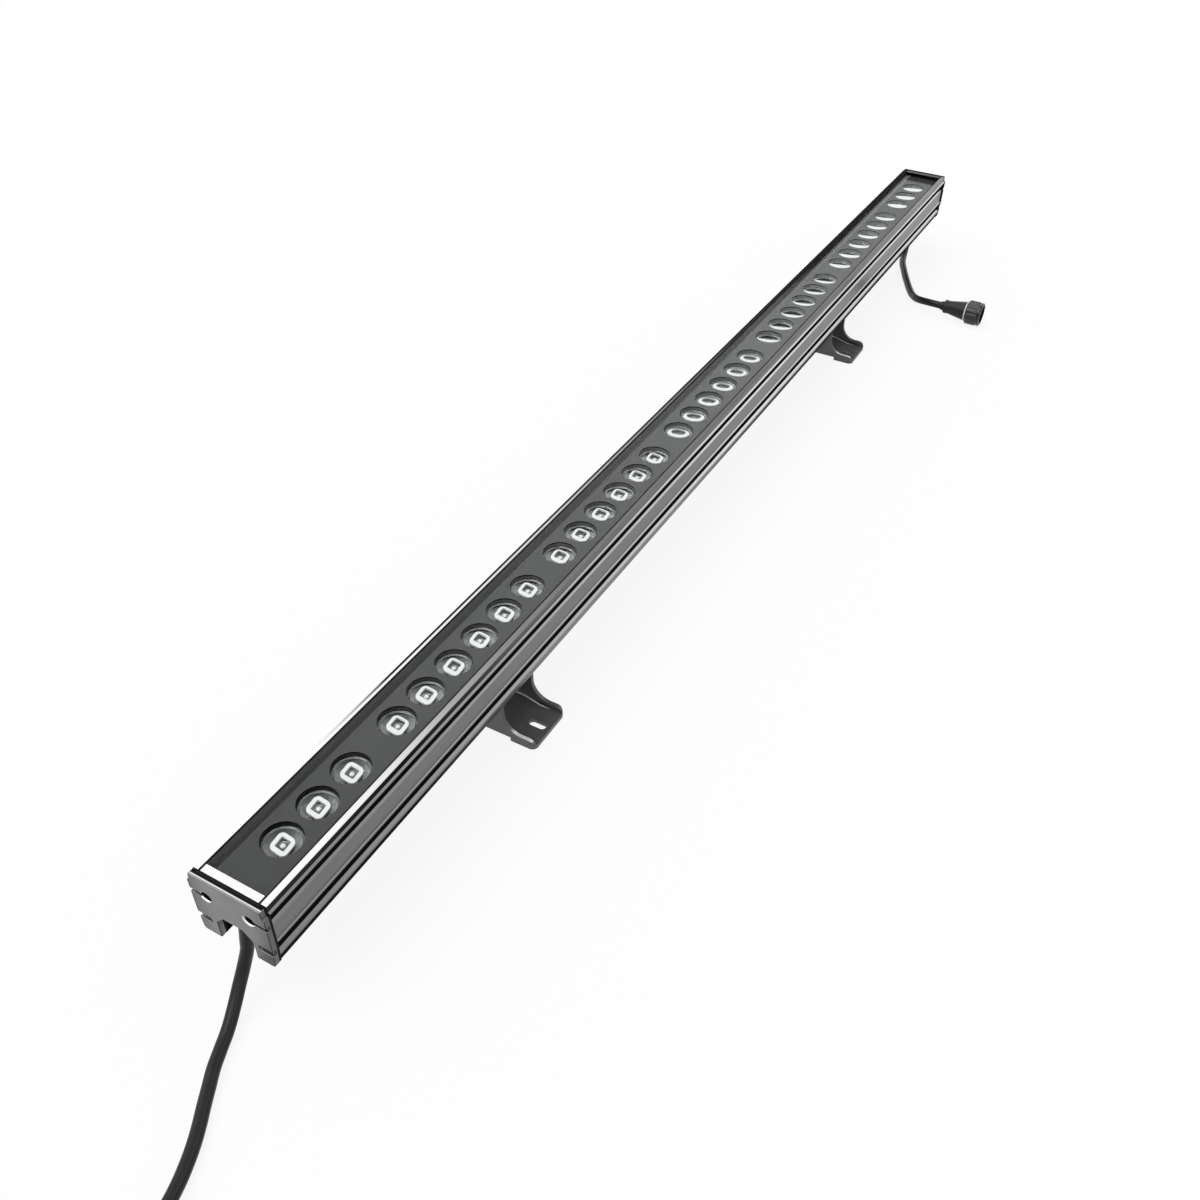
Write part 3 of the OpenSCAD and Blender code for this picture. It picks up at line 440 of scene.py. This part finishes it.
# End caps. Each end is closed by a milled aluminium plate with the section of the body, held by
# two countersunk hexagon socket screws over a flat black rubber gasket. Its end is bare metal, and
# the rest is painted shade in black, but for the near plate's top and sides.
def softened(name, node, material, body, width, segments=2, moved=()):
    """A copy of a solid part with its sharp edges rounded by a width in millimetres. An edge that
    runs along X at a Y and Z in moved, on either side, first goes to a new Y."""
    reach = 0.1 * MM
    nearly_flat = math.radians(0.6)
    sharp = math.radians(32)
    bm = bmesh.new()
    bm.from_mesh(nodes[node].data)
    for y, z, new_y in moved:
        for v in bm.verts:
            if abs(abs(v.co.y) - y * MM) < reach and abs(v.co.z - z * MM) < reach:
                v.co.y = math.copysign(new_y * MM, v.co.y)
    bmesh.ops.remove_doubles(bm, verts=bm.verts, dist=2e-6)
    bmesh.ops.dissolve_limit(bm, angle_limit=nearly_flat, verts=bm.verts, edges=bm.edges)
    edges = [e for e in bm.edges if len(e.link_faces) == 2 and e.calc_face_angle(0) > sharp]
    bmesh.ops.bevel(bm, geom=edges, offset=width * MM, segments=segments, profile=0.5,
        affect="EDGES", material=-1, clamp_overlap=False)
    return piece_from(bm, name, material, body, node)


def short_of(material, amount, start, end):
    """One below a start in millimetres and nought above an end."""
    return between(material, amount, 1, 0, start * MM, end * MM)


def all_of(material, first, *others):
    """One only where all the amounts are one."""
    for other in others:
        first = maths(material, "MULTIPLY", first, other)
    return first


def any_of(material, first, *others):
    """One wherever one of the amounts is one."""
    for other in others:
        first = maths(material, "MAXIMUM", first, other)
    return first


cap_metal, shader = principled("cap metal", Specular_IOR_Level=0.0)
grain = noise(cap_metal, 900, 4, 0.7)
patches = noise(cap_metal, 60, 3)
place = axes(cap_metal)
tilt = axes(cap_metal, "Normal")
endwards = maths(cap_metal, "ABSOLUTE", tilt["X"])
sidewards = maths(cap_metal, "ABSOLUTE", tilt["Y"])
outwards = maths(cap_metal, "ABSOLUTE", place["Y"])

# Where a plate is bare: on its end, and on the near one also on top and at its sides, apart from
# the left and lower rims and the strip beside the glass. All else is painted shade in black.
near_plate = short_of(cap_metal, place["X"], -100, 100)
open_side = any_of(cap_metal, between(cap_metal, tilt["Z"], 0, 1, 0.2, 0.4),
    between(cap_metal, sidewards, 0, 1, 0.85, 0.95))
beside_glass = all_of(cap_metal, beyond(cap_metal, place["Z"], 75.2, 75.3),
    beyond(cap_metal, place["X"], -498.6, -498.4))
# Painted shade: black along the left and lower rims and beside the glass.
rim = any_of(cap_metal, beyond(cap_metal, place["Y"], 21.1, 21.5),
    short_of(cap_metal, place["Z"], 35.6, 36), beside_glass)
bare_unshaded = any_of(cap_metal, all_of(cap_metal, near_plate, open_side),
    between(cap_metal, endwards, 0, 1, 0.85, 0.95))
bare_unshaded = all_of(cap_metal, bare_unshaded, between(cap_metal, rim, 1, 0))

# The bare metal has painted shade towards the sides, a painted highlight along the top edge, and
# a painted white glint on one side of each countersink.
metal = blended(cap_metal, beyond(cap_metal, outwards, 12, 22),
    colours(cap_metal, patches, [(0.3, 0.18), (0.7, 0.22)]), (0.11, 0.11, 0.112, 1))
top_edge_painted_highlight = blended(cap_metal, beyond(cap_metal, place["X"], -499.2, -499.1), grey(0.17),
    (0.45, 0.45, 0.44, 1))
metal = blended(cap_metal, beyond(cap_metal, place["Z"], 75, 75.2), metal, top_edge_painted_highlight)

screw_y = 12.3 * MM
screw_z = 63.5 * MM
glint_off = 0.5 * MM
across = maths(cap_metal, "ABSOLUTE", maths(cap_metal, "SUBTRACT", place["Y"], glint_off))
spot = add_node(cap_metal, "ShaderNodeCombineXYZ", X=across, Y=place["Z"]).outputs[0]
from_screw = add_node(cap_metal, "ShaderNodeVectorMath", {"operation": "DISTANCE"}, _0=spot,
    _1=(screw_y, screw_z, 0)).outputs["Value"]
metal = blended(cap_metal, short_of(cap_metal, from_screw, 3.15, 3.3), metal, grey(0.95))
drive(cap_metal, shader, Metallic=bare_unshaded, Base_Color=blended(cap_metal, bare_unshaded, grey(0.014), metal),
    Roughness=between(cap_metal, grain, 0.34, 0.5, 0.3, 0.7))
bump(cap_metal, shader, grain, 0.1, 0.1)

gasket_rubber, shader = principled("gasket rubber", Specular_IOR_Level=0.05)
place = axes(gasket_rubber)
tilt = axes(gasket_rubber, "Normal")["Z"]
grain = noise(gasket_rubber, 700, 3)
outwards = maths(gasket_rubber, "ABSOLUTE", place["Y"])
# Painted light: the beads' inner sides under the glass are grey, palest in the middle of the bar and
# dark at the far end.
glass_side_painted_light = all_of(gasket_rubber, beyond(gasket_rubber, place["Z"], 71.1, 71.2),
    short_of(gasket_rubber, outwards, 17.9, 18), between(gasket_rubber, tilt, 1, 0, 0.4, 0.6),
    short_of(gasket_rubber, place["X"], 495.4, 495.6))
drive(gasket_rubber, shader,
    Base_Color=blended(gasket_rubber, glass_side_painted_light,
        colours(gasket_rubber, grain, [(0.3, 0.006), (0.7, 0.011)]),
        colours(gasket_rubber, along_bar(gasket_rubber),
            [(0.1, 0.17), (0.5, 0.28), (0.66, 0.26), (0.74, 0.03)])),
    Roughness=between(gasket_rubber, grain, 0.6, 0.8))

black_screws = grained("black oxide", 1200, 3, [(0.3, 0.004), (0.7, 0.01)], 0.3, 0.5,
    Specular_IOR_Level=0.0)

for end in ("near", "far"):
    softened("cap_plate_" + end, "end_cap_" + end, cap_metal, "lamp_bar",
        width=0.4, segments=3)
    finish_node(gasket_rubber, "end_gasket_" + end)
    finish_node(black_screws, "end_cap_screws_" + end)


# Glass. A long pane of clear toughened glass lies in the recess between the lips on a shelf, with
# a bead of black silicone down both sides, with painted light in grey on its inner side. The shine
# of the glass is shown on the dark sheet under it.
def shown_as(material, source):
    """Makes a shader what a material or the studio shows."""
    output = next(n for n in material.node_tree.nodes if n.type.startswith("OUTPUT"))
    material.node_tree.links.new(source, output.inputs["Surface"])


cover_glass, shader = principled("cover glass")
cover_glass.node_tree.nodes.remove(shader)
tint = colours(cover_glass, noise(cover_glass, 40, 2),
    [(0.3, (0.975, 0.985, 0.982)), (0.7, (0.985, 0.99, 0.988))])
shown_as(cover_glass, add_node(cover_glass, "ShaderNodeBsdfTransparent", Color=tint).outputs[0])

# The pane keeps a hair's breadth from the shelf and the beads, so that no two faces coincide.
pane_narrowed = 0.998
pane_lifted = 0.02 * MM
pane_middle_z = 73 * MM
bm = bmesh.new()
bm.from_mesh(nodes["glass_cover"].data)
for v in bm.verts:
    v.co.y *= pane_narrowed
    v.co.z += pane_lifted if v.co.z < pane_middle_z else 0
piece_from(bm, "glass_pane", cover_glass, "lamp_bar", "glass_cover")
finish_node(gasket_rubber, "glass_seals")


# Mask and end strips. A thin dark grey sheet with a round window over each lens lies under the
# glass, with painted light along its left edge and painted shade on its window walls. A strip of
# plastic is stuck across each end of the glass, white at the near end and dark grey at the far one.
mask_plate, shader = principled("mask plate")
place = axes(mask_plate)
tilt = axes(mask_plate, "Normal")["Z"]
patches = noise(mask_plate, 14, 3)
along = along_bar(mask_plate)

# The painted light along the edge is wider towards the far end, by this much in all.
painted_light_drift = 3.5 * MM
from_middle = maths(mask_plate, "MULTIPLY_ADD", along, painted_light_drift, place["Y"])
sheet = blended(mask_plate, beyond(mask_plate, from_middle, 15.2, 17),
    colours(mask_plate, patches, [(0.3, 0.048), (0.7, 0.054)]),
    colours(mask_plate, along, [(0.1, 0.11), (0.5, 0.16), (0.9, 0.24)]))
# Painted shade: the walls of the windows are black at the near end and paler towards the far end.
window_wall_painted_shade = colours(mask_plate, along, [(0.3, 0.002), (0.6, 0.03), (0.85, 0.12)])
facing_up = between(mask_plate, tilt, 0, 1, 0.4, 0.6)
drive(mask_plate, shader, Base_Color=blended(mask_plate, facing_up, window_wall_painted_shade, sheet),
    Specular_IOR_Level=between(mask_plate, facing_up, 0.02, 0.3),
    Roughness=between(mask_plate, patches, 0.1, 0.16))
finish_node(mask_plate, "lens_mask")

for name, node, low, high in (("white_strip", "white_end_strip_near", 0.9, 0.95),
        ("grey_strip", "grey_end_strip_far", 0.03, 0.045)):
    strip_plastic = grained(name, 400, 3, [(0.3, low), (0.7, high)], 0.4, 0.6,
        Specular_IOR_Level=0.3)
    softened(name, node, strip_plastic, "lamp_bar", width=0.1)


# Lenses. Seven groups of moulded clear acrylic collimators stand on the boards, each a frosted cone
# with a rim, in a holder ring with painted shade, black in the near groups and paler in the far
# ones.
# Each has a white painted highlight on its top, which differs from group to group.
def mixed(material, share, first, second):
    """One shader turning into another with a share."""
    return add_node(material, "ShaderNodeMixShader", _0=share, _1=first, _2=second).outputs[0]


lens_acrylic, shader = principled("lens acrylic", Transmission_Weight=1.0, IOR=1.49)
place = axes(lens_acrylic)
# Painted light: the frosted cones are paler towards the far end.
frosting_and_painted_light = blended(lens_acrylic, beyond(lens_acrylic, place["X"], -200, 300),
    colours(lens_acrylic, noise(lens_acrylic, 120, 2), [(0.3, 0.1), (0.7, 0.2)]), grey(0.5))
drive(lens_acrylic, shader,
    Base_Color=blended(lens_acrylic, beyond(lens_acrylic, place["Z"], 67, 67.4), frosting_and_painted_light,
        (0.93, 0.94, 0.95, 1)),
    Roughness=between(lens_acrylic, place["Z"], 0.5, 0.02, 67 * MM, 67.4 * MM))
lamp_ray = add_node(lens_acrylic, "ShaderNodeLightPath").outputs["Is Shadow Ray"]
through = add_node(lens_acrylic, "ShaderNodeBsdfTransparent", Color=(0.9, 0.92, 0.93, 1))
shown_as(lens_acrylic, mixed(lens_acrylic, lamp_ray, shader.outputs[0], through.outputs[0]))

holder_black_with_painted_shade, shader = principled("holder black with painted shade", Specular_IOR_Level=0.3)
# Painted shade: the rings are black at the near end and paler towards the far end.
drive(holder_black_with_painted_shade, shader,
    Base_Color=colours(holder_black_with_painted_shade, along_bar(holder_black_with_painted_shade),
        [(0.06, 0.006), (0.2, 0.1), (0.5, 0.22), (0.8, 0.42)]),
    Roughness=between(holder_black_with_painted_shade, noise(holder_black_with_painted_shade, 500, 3), 0.45, 0.65))

lens_painted_highlight = grained("lens painted highlight", 700, 3, [(0.3, 0.86), (0.7, 0.93)], 0.35, 0.5,
    Specular_IOR_Level=0.4)

board_top = 61.6 * MM
lens_pitch = 24.5 * MM
module_l = 158.5 * MM
highlight_z = 6.45

# A module holds six lenses. The two at the ends have only the three on the bar's inner side.
lens_rows = []
for g in range(7):
    places = {0: range(3), 6: range(-3, 0)}.get(g, range(-3, 3))
    lens_rows.append([(g - 3) * module_l + (k + 0.5) * lens_pitch for k in places])

lens_outline = [(0, 3.9), (0.9, 3.85), (1.8, 3.65), (2.6, 3.3), (3, 3.0), (3, 0.3), (3.2, 0),
    (4.8, 0), (5, 0.2), (6.1, 1.5), (7.2, 2.95), (8.2, 4.25), (9, 5.2), (9.8, 5.2), (9.95, 5.35),
    (9.95, 6.75), (9.7, 7), (9.3, 7), (8.9, 6.65), (8.4, 6.5), (6.5, 6.5), (0, 6.5)]
ring_outline = [(10.02, 4.6), (10.02, 8.85), (10.75, 8.85), (10.75, 4.6), (10.02, 4.6)]
pip_outline = [(0, 7.35), (0.5, 7.3), (1.0, 7.05), (1.3, 6.7), (1.35, highlight_z), (0, highlight_z)]


def thicken(solid, faces, height):
    """Gives flat faces a height in millimetres."""
    grown = bmesh.ops.extrude_face_region(solid, geom=faces)["geom"]
    top = [part for part in grown if isinstance(part, bmesh.types.BMVert)]
    bmesh.ops.translate(solid, vec=(0, 0, height * MM), verts=top)
    bmesh.ops.recalc_face_normals(solid, faces=solid.faces)


def rounded_square(bm, centre, side, opening, corner, height, stretch, slant, off_centre):
    """A flat rounded square ring in millimetres, round a centre in metres, drawn out at a slant
    in degrees, with its opening off its centre."""
    solid = bmesh.new()
    half = side * MM / 2
    verts = [solid.verts.new((x * half, y * half, 0))
        for x, y in ((-1, -1), (1, -1), (1, 1), (-1, 1))]
    solid.faces.new(verts)
    bmesh.ops.bevel(solid, geom=verts, offset=corner * MM, segments=5, profile=0.5,
        affect="VERTICES", material=-1)
    middle = max(solid.faces, key=lambda face: face.calc_area())
    ring = bmesh.ops.inset_region(solid, faces=[middle], thickness=(side - opening) / 2 * MM,
        use_boundary=True, use_even_offset=True)["faces"]
    way = Vector((0.94, 0.34, 0))
    bmesh.ops.translate(solid, vec=way * off_centre * MM, verts=list(middle.verts))
    bmesh.ops.delete(solid, geom=[middle], context="FACES_ONLY")
    thicken(solid, ring, height)
    turned = Matrix.Rotation(math.radians(slant), 4, "Z")
    bmesh.ops.transform(solid, verts=solid.verts, matrix=Matrix.Translation(centre) @ turned
        @ Matrix.Diagonal((stretch, 1, 1, 1)) @ turned.inverted())
    join(bm, solid)


def crescent(bm, centre, width, depth, thickness, height):
    """A flat crescent in millimetres, round a centre in metres, with its back to the near end."""
    half_sweep = math.radians(84)
    turned = Matrix.Rotation(math.radians(197), 4, "Z")
    solid = bmesh.new()
    bmesh.ops.create_grid(solid, x_segments=20, y_segments=1, size=1)
    for v in solid.verts:
        angle = v.co.x * half_sweep
        inner = thickness if v.co.y > 0 else 0
        v.co = Vector(((depth / 2 - inner) * math.cos(angle), width / 2 * math.sin(angle), 0)) * MM
    thicken(solid, solid.faces[:], height)
    bmesh.ops.transform(solid, verts=solid.verts, matrix=Matrix.Translation(centre) @ turned)
    join(bm, solid)


# The white marks are painted highlights. Groups 1 to 3 have rounded squares round a pip, each group
# with its openings further off centre. Group 4 has rings, and groups 5 to 7 have crescents.
for g, row in enumerate(lens_rows, start=1):
    lenses, rings, painted_highlights = bmesh.new(), bmesh.new(), bmesh.new()
    for x in row:
        base = Vector((x, 0, board_top))
        turn(lenses, lens_outline, Matrix.Translation(base), steps=40)
        turn(rings, ring_outline, Matrix.Translation(base), steps=40)
        if g < 4:
            rounded_square(painted_highlights, base + Vector((-1, -0.8, highlight_z)) * MM, side=9.2 + 0.2 * g,
                opening=5 + 0.4 * g, corner=2.4 + 0.2 * g, height=1.3, stretch=1.22, slant=40,
                off_centre=(0.2, 0.8, 1.1)[g - 1])
            turn(painted_highlights, pip_outline, Matrix.Translation(base + Vector((-1, -0.8, 0)) * MM),
                steps=20)
        elif g == 4:
            rounded_square(painted_highlights, base + Vector((-0.6, -0.2, highlight_z)) * MM, side=11, opening=7.4,
                corner=5, height=1.3, stretch=1.35, slant=107, off_centre=1.5)
        else:
            crescent(painted_highlights, base + Vector((0, 0, highlight_z)) * MM, width=18.4, depth=13.6,
                thickness=2.4 * g - 8.2, height=2.2)
    piece_from(lenses, "lens_row_%d" % g, lens_acrylic, "lamp_bar",
        "lens_group_%d" % g)
    piece_from(rings, "lens_holder_%d" % g, holder_black_with_painted_shade, "lamp_bar")
    piece_from(painted_highlights, "lens_painted_highlights_%d" % g, lens_painted_highlight, "lamp_bar")


# Boards. Two laminate boards with a black mask carry a light source under each lens, driver
# chips and resistors, and are screwed to the chamber's floor and joined by two short wires.
board_laminate, shader = principled("board laminate", Specular_IOR_Level=0.5)
tracks = add_node(board_laminate, "ShaderNodeTexWave", {"wave_type": "BANDS",
    "bands_direction": "Y"}, Vector=place_on(board_laminate), Scale=90.0, Distortion=2.0,
    Detail=1.0).outputs["Fac"]
drive(board_laminate, shader,
    Base_Color=colours(board_laminate, tracks, [(0.55, (0.01, 0.012, 0.012)),
        (0.62, (0.022, 0.024, 0.024))]),
    Roughness=between(board_laminate, noise(board_laminate, 500, 3), 0.3, 0.45))

emitter_package = grained("emitter package", 300, 2,
    [(0.3, (0.8, 0.76, 0.5)), (0.7, (0.88, 0.85, 0.66))], 0.2, 0.35, Specular_IOR_Level=0.5)
board_components = grained("board components", 500, 3, [(0.3, 0.012), (0.7, 0.03)], 0.4, 0.6,
    Specular_IOR_Level=0.4)
zinc_steel = grained("zinc steel", 500, 4, [(0.3, 0.42), (0.5, 0.5), (0.7, 0.58)], 0.25, 0.4,
    spread=(0.3, 0.7), relief=(500, 4, 0.1, 0.1), Metallic=1.0)
wire_insulation = grained("wire insulation", 300, 2,
    [(0.3, (0.4, 0.02, 0.02)), (0.7, (0.5, 0.03, 0.03))], 0.35, 0.5, Specular_IOR_Level=0.4)

for end in ("near", "far"):
    finish_node(board_laminate, "led_board_" + end)
    finish_node(emitter_package, "led_emitters_" + end)
    finish_node(board_components, "board_parts_" + end)
finish_node(zinc_steel, "board_screws")
finish_node(wire_insulation, "board_link_wires", "inlet_wires", "outlet_wires")
finish_node(connector_plastic, "inlet_gland_nut", "outlet_gland_nut")


# Brackets. Two cast feet, painted matte dark grey with a painted highlight in white along two edges
# of the sole, stand on the floor. Each holds a saddle between its cheeks, which tilts on a bolt and
# slides along the channel on a square-headed bolt.
near_bracket_x = -290 * MM
far_bracket_x = 236 * MM
bracket_paint, shader = principled("bracket paint", Specular_IOR_Level=0.5)
orange_peel = noise(bracket_paint, 1100, 3)
patches = noise(bracket_paint, 50, 3)
place = axes(bracket_paint)
tilt = axes(bracket_paint, "Normal")["Z"]
own_middle = between(bracket_paint, place["X"], near_bracket_x, far_bracket_x, -0.001, 0.001)
from_middle = maths(bracket_paint, "SUBTRACT", place["X"], own_middle)
near_edge = all_of(bracket_paint, short_of(bracket_paint, from_middle, -14.5, -14.4),
    short_of(bracket_paint, place["Z"], 7.4, 9))
far_edge = all_of(bracket_paint, beyond(bracket_paint, from_middle, 13.3, 13.4),
    short_of(bracket_paint, place["Z"], 5.7, 5.8), beyond(bracket_paint, place["Y"], -27, -20))
# Painted highlight: white along those two edges where they face up.
edge_painted_highlight = all_of(bracket_paint, any_of(bracket_paint, near_edge, far_edge),
    between(bracket_paint, tilt, 0, 1, 0.75, 0.9))
drive(bracket_paint, shader,
    Base_Color=blended(bracket_paint, edge_painted_highlight,
        colours(bracket_paint, patches, [(0.3, 0.085), (0.7, 0.1)]), grey(0.95)),
    Roughness=between(bracket_paint, orange_peel, 0.32, 0.46, 0.3, 0.7))
bump(bracket_paint, shader, orange_peel, 0.3, 0.2)

# The step under the middle of a foot rises in a slope, and is full height 9 mm from the middle.
step_slope = [(18.5, 5.5, 9)]
for end in ("near", "far"):
    foot_body, saddle_body = end + "_foot", end + "_saddle"
    softened("foot_casting_" + end, "foot_" + end, bracket_paint, foot_body,
        width=0.2, moved=step_slope)
    softened("saddle_clip_" + end, "saddle_" + end, bracket_paint, saddle_body,
        width=0.3)
    for name, node, body, width in (("slide_ring_", "slide_washer_", saddle_body, 0.12),
            ("slide_hexagon_", "slide_nut_", saddle_body, 0.3),
            ("pivot_rings_", "pivot_washers_", foot_body, 0.15),
            ("pivot_hexagon_", "pivot_nut_", foot_body, 0.4),
            ("pivot_screw_", "pivot_bolt_", foot_body, 0.4),
            ("slide_screw_", "slide_bolt_", saddle_body, 0.3)):
        softened(name + end, node + end, zinc_steel, body, width)


# Floor and light. The lamp stands on a wide pale floor in a plain white studio, under one broad
# soft lamp overhead.
def seen_straight(material):
    """One for what the camera sees, also by way of metal or glass."""
    rays = add_node(material, "ShaderNodeLightPath").outputs
    return any_of(material, rays["Is Camera Ray"], rays["Is Glossy Ray"],
        rays["Is Transmission Ray"])


floor_radius = 14
floor_glow = 0.88
floor_paint, shader = principled("pale floor")
floor_paint.node_tree.nodes.remove(shader)
paint = add_node(floor_paint, "ShaderNodeBsdfDiffuse", Color=grey(0.92)).outputs[0]
glow = add_node(floor_paint, "ShaderNodeEmission", Color=grey(1), Strength=1.0).outputs[0]
glow_share = maths(floor_paint, "MULTIPLY", seen_straight(floor_paint), floor_glow)
shown_as(floor_paint, mixed(floor_paint, glow_share, paint, glow))
bm = bmesh.new()
bmesh.ops.create_circle(bm, cap_ends=True, cap_tris=False, segments=64, radius=floor_radius)
mesh = bpy.data.meshes.new("floor")
bm.to_mesh(mesh)
bm.free()
mesh.materials.append(floor_paint)
floor = in_scene("floor", mesh)

# The studio lights everything evenly. Where it is seen it is white, and brighter in the shine of
# the lamp over a band of heights, as from a long softbox.
world = bpy.data.worlds.new("studio")
world.use_nodes = True
bpy.context.scene.world = world
plain = world.node_tree.nodes["Background"]
plain.inputs["Color"].default_value = grey(1)
plain.inputs["Strength"].default_value = 0.6
direction = add_node(world, "ShaderNodeTexCoord").outputs["Generated"]
height = add_node(world, "ShaderNodeSeparateXYZ", Vector=direction).outputs["Z"]
softbox = colours(world, height, [(0.35, 0), (0.47, 0.85), (0.68, 0.85), (0.8, 0.25)])
in_shine = add_node(world, "ShaderNodeLightPath").outputs["Is Glossy Ray"]
brightness = maths(world, "MULTIPLY_ADD", all_of(world, softbox, in_shine), 1.3, 1.0)
white = add_node(world, "ShaderNodeBackground", Color=grey(1), Strength=brightness)
shown_as(world, mixed(world, seen_straight(world), plain.outputs[0], white.outputs[0]))

sun = bpy.data.lights.new("broad lamp", "SUN")
sun.energy = 1.5
sun.angle = math.radians(50)
lamp = in_scene("broad lamp", sun)
lamp.matrix_world = facing(Vector((-0.6, 0.5, 2)), Vector((-0.35, 0.3, 1)))
